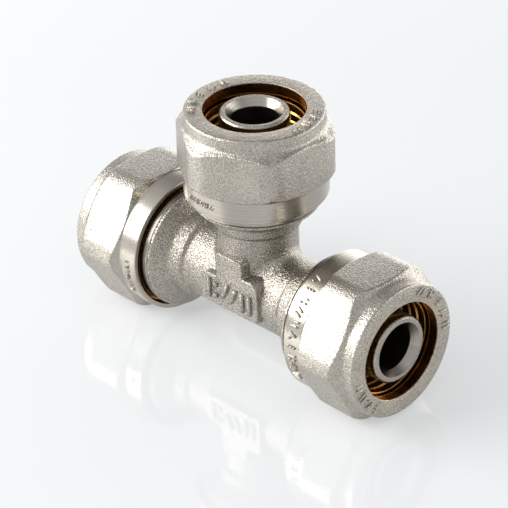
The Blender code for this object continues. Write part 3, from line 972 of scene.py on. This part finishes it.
class FITTING_OT_seals(bpy.types.Operator):
    """Build the O-rings and the insulating washers"""

    bl_idname = "fitting.seals"
    bl_label = "Seals"

    def execute(self, context):
        sizes, body = context.scene.fitting_ring, context.scene.fitting_body
        colours = context.scene.fitting_colours
        black, dark = rubber(colours), washer_plastic(colours)
        grooves = {"inner": body.first_groove, "outer": body.second_groove}
        back, front = WASHER_LOW.x, WASHER_HIGH.x
        hole, rim = sizes.washer_inner_r, sizes.washer_outer_r
        outline = [(back, hole, 0.1), (back, rim, 0.1), (front, rim, 0.2), (front, hole, 0.2)]
        for name, (matrix, _, _) in ARMS.items():
            for place, middle in grooves.items():
                seal = build_o_ring(f"{name}_{place}_seal", matrix, middle, sizes.seal_r, sizes.wire_r)
                finish_piece(seal, black, "tee", "epdm_rubber", f"{name}_{place}_o_ring")
            washer = build_turned_ring(name + "_washer", matrix, outline)
            finish_piece(washer, dark, "tee", "washer_plastic", name + "_insulating_washer")
        return {"FINISHED"}


class FITTING_OT_stage(bpy.types.Operator):
    """Build the pale table, the light, the room and the camera"""

    bl_idname = "fitting.stage"
    bl_label = "Stage"

    def execute(self, context):
        scene, stage = context.scene, context.scene.fitting_stage
        corners = np.array([(-1, -1, 0), (1, -1, 0), (1, 1, 0), (-1, 1, 0)]) * stage.table_half
        floor = make_piece("table", corners, np.array([[0, 1, 2, 3]]))
        floor.data.materials.append(table_top(scene.fitting_colours))
        build_softbox(scene, stage)
        build_camera(scene, stage)
        scene.world = studio_room()
        scene.view_settings.view_transform = "Standard"
        return {"FINISHED"}


def view_axes(azimuth, elevation, roll):
    """Right, up and backward directions of a camera that looks at the fitting."""
    flat = math.cos(elevation)
    back = Vector((math.sin(azimuth) * flat, -math.cos(azimuth) * flat, math.sin(elevation)))
    right = Vector((math.cos(azimuth), math.sin(azimuth), 0))
    up = back.cross(right)
    turned_right = right * math.cos(roll) + up * math.sin(roll)
    turned_up = up * math.cos(roll) - right * math.sin(roll)
    return turned_right, turned_up, back


def build_camera(scene, stage):
    """Camera at its distance behind the aim point."""
    right, up, back = view_axes(stage.azimuth, stage.elevation, stage.roll)
    place = Vector(CENTRE) + right * stage.aim_right + up * stage.aim_up + back * stage.distance
    data = bpy.data.cameras.new("camera")
    data.lens, data.sensor_width = stage.lens, 36.0
    data.clip_start, data.clip_end = 0.01, 20.0
    camera = bpy.data.objects.new("camera", data)
    camera.matrix_world = Matrix.Translation(place) @ Matrix((right, up, back)).transposed().to_4x4()
    scene.collection.objects.link(camera)
    scene.camera = camera


def build_softbox(scene, stage):
    """Broad softbox on the left; its energy is its radiance times pi times its area."""
    data = bpy.data.lights.new("left_softbox", "AREA")
    data.shape = "RECTANGLE"
    data.size, data.size_y = stage.softbox_width, stage.softbox_height
    data.energy = stage.softbox_radiance * math.pi * stage.softbox_width * stage.softbox_height
    data.color = (1.0, 0.99, 0.97)
    light = bpy.data.objects.new("left_softbox", data)
    towards = Vector(SOFTBOX_SIDE).normalized()
    light.location = Vector(CENTRE) + towards * stage.softbox_distance
    light.rotation_euler = towards.to_track_quat("Z", "Y").to_euler()
    scene.collection.objects.link(light)


def studio_room():
    """Pale room, darker high up behind the fitting, with a glow low down behind it."""
    world = bpy.data.worlds.new("studio")
    world.use_nodes = True
    room = Recipe(world, world.node_tree.nodes["Background"])
    x, y, z = room.split(room.place())
    paleness = (0.82 + 0.06 * y - 0.06 * x - 1.3 * y * z).clamp()
    glow = (2.1 - 4.5 * z).clamp() * (1.2 * y - 0.2).clamp()
    walls = room.mix(paleness, (0.07, 0.055, 0.045), (0.86, 0.88, 0.90))
    room.feed("Color", room.mix(glow, walls, (3.2, 3.2, 3.2)))
    return world


class FITTING_PT_panel(bpy.types.Panel):
    """Lists the build steps"""

    bl_label = "Compression tee"
    bl_idname = "FITTING_PT_panel"
    bl_space_type = "VIEW_3D"
    bl_region_type = "UI"
    bl_category = "Fitting"

    def draw(self, context):
        for operator in STEPS:
            self.layout.operator(operator.bl_idname)


GROUPS = {
    "fitting_body": FittingBodySizes,
    "fitting_thread": FittingThreadSizes,
    "fitting_nut": FittingNutSizes,
    "fitting_ring": FittingRingSizes,
    "fitting_colours": FittingColours,
    "fitting_stage": FittingStageSettings,
}
STEPS = (FITTING_OT_tee, FITTING_OT_nuts, FITTING_OT_split_rings, FITTING_OT_seals, FITTING_OT_stage)


def register():
    """Register the classes and hang the property groups on the scene."""
    for item in (*GROUPS.values(), *STEPS, FITTING_PT_panel):
        bpy.utils.register_class(item)
    for name, group in GROUPS.items():
        setattr(bpy.types.Scene, name, PointerProperty(type=group))


def unregister():
    """Take the property groups and the classes away again."""
    for name in GROUPS:
        delattr(bpy.types.Scene, name)
    for item in reversed((*GROUPS.values(), *STEPS, FITTING_PT_panel)):
        bpy.utils.unregister_class(item)


def main():
    """Register the add-on and build every piece and the stage."""
    register()
    bpy.ops.fitting.tee()
    bpy.ops.fitting.nuts()
    bpy.ops.fitting.split_rings()
    bpy.ops.fitting.seals()
    bpy.ops.fitting.stage()


if __name__ == "__main__":
    main()
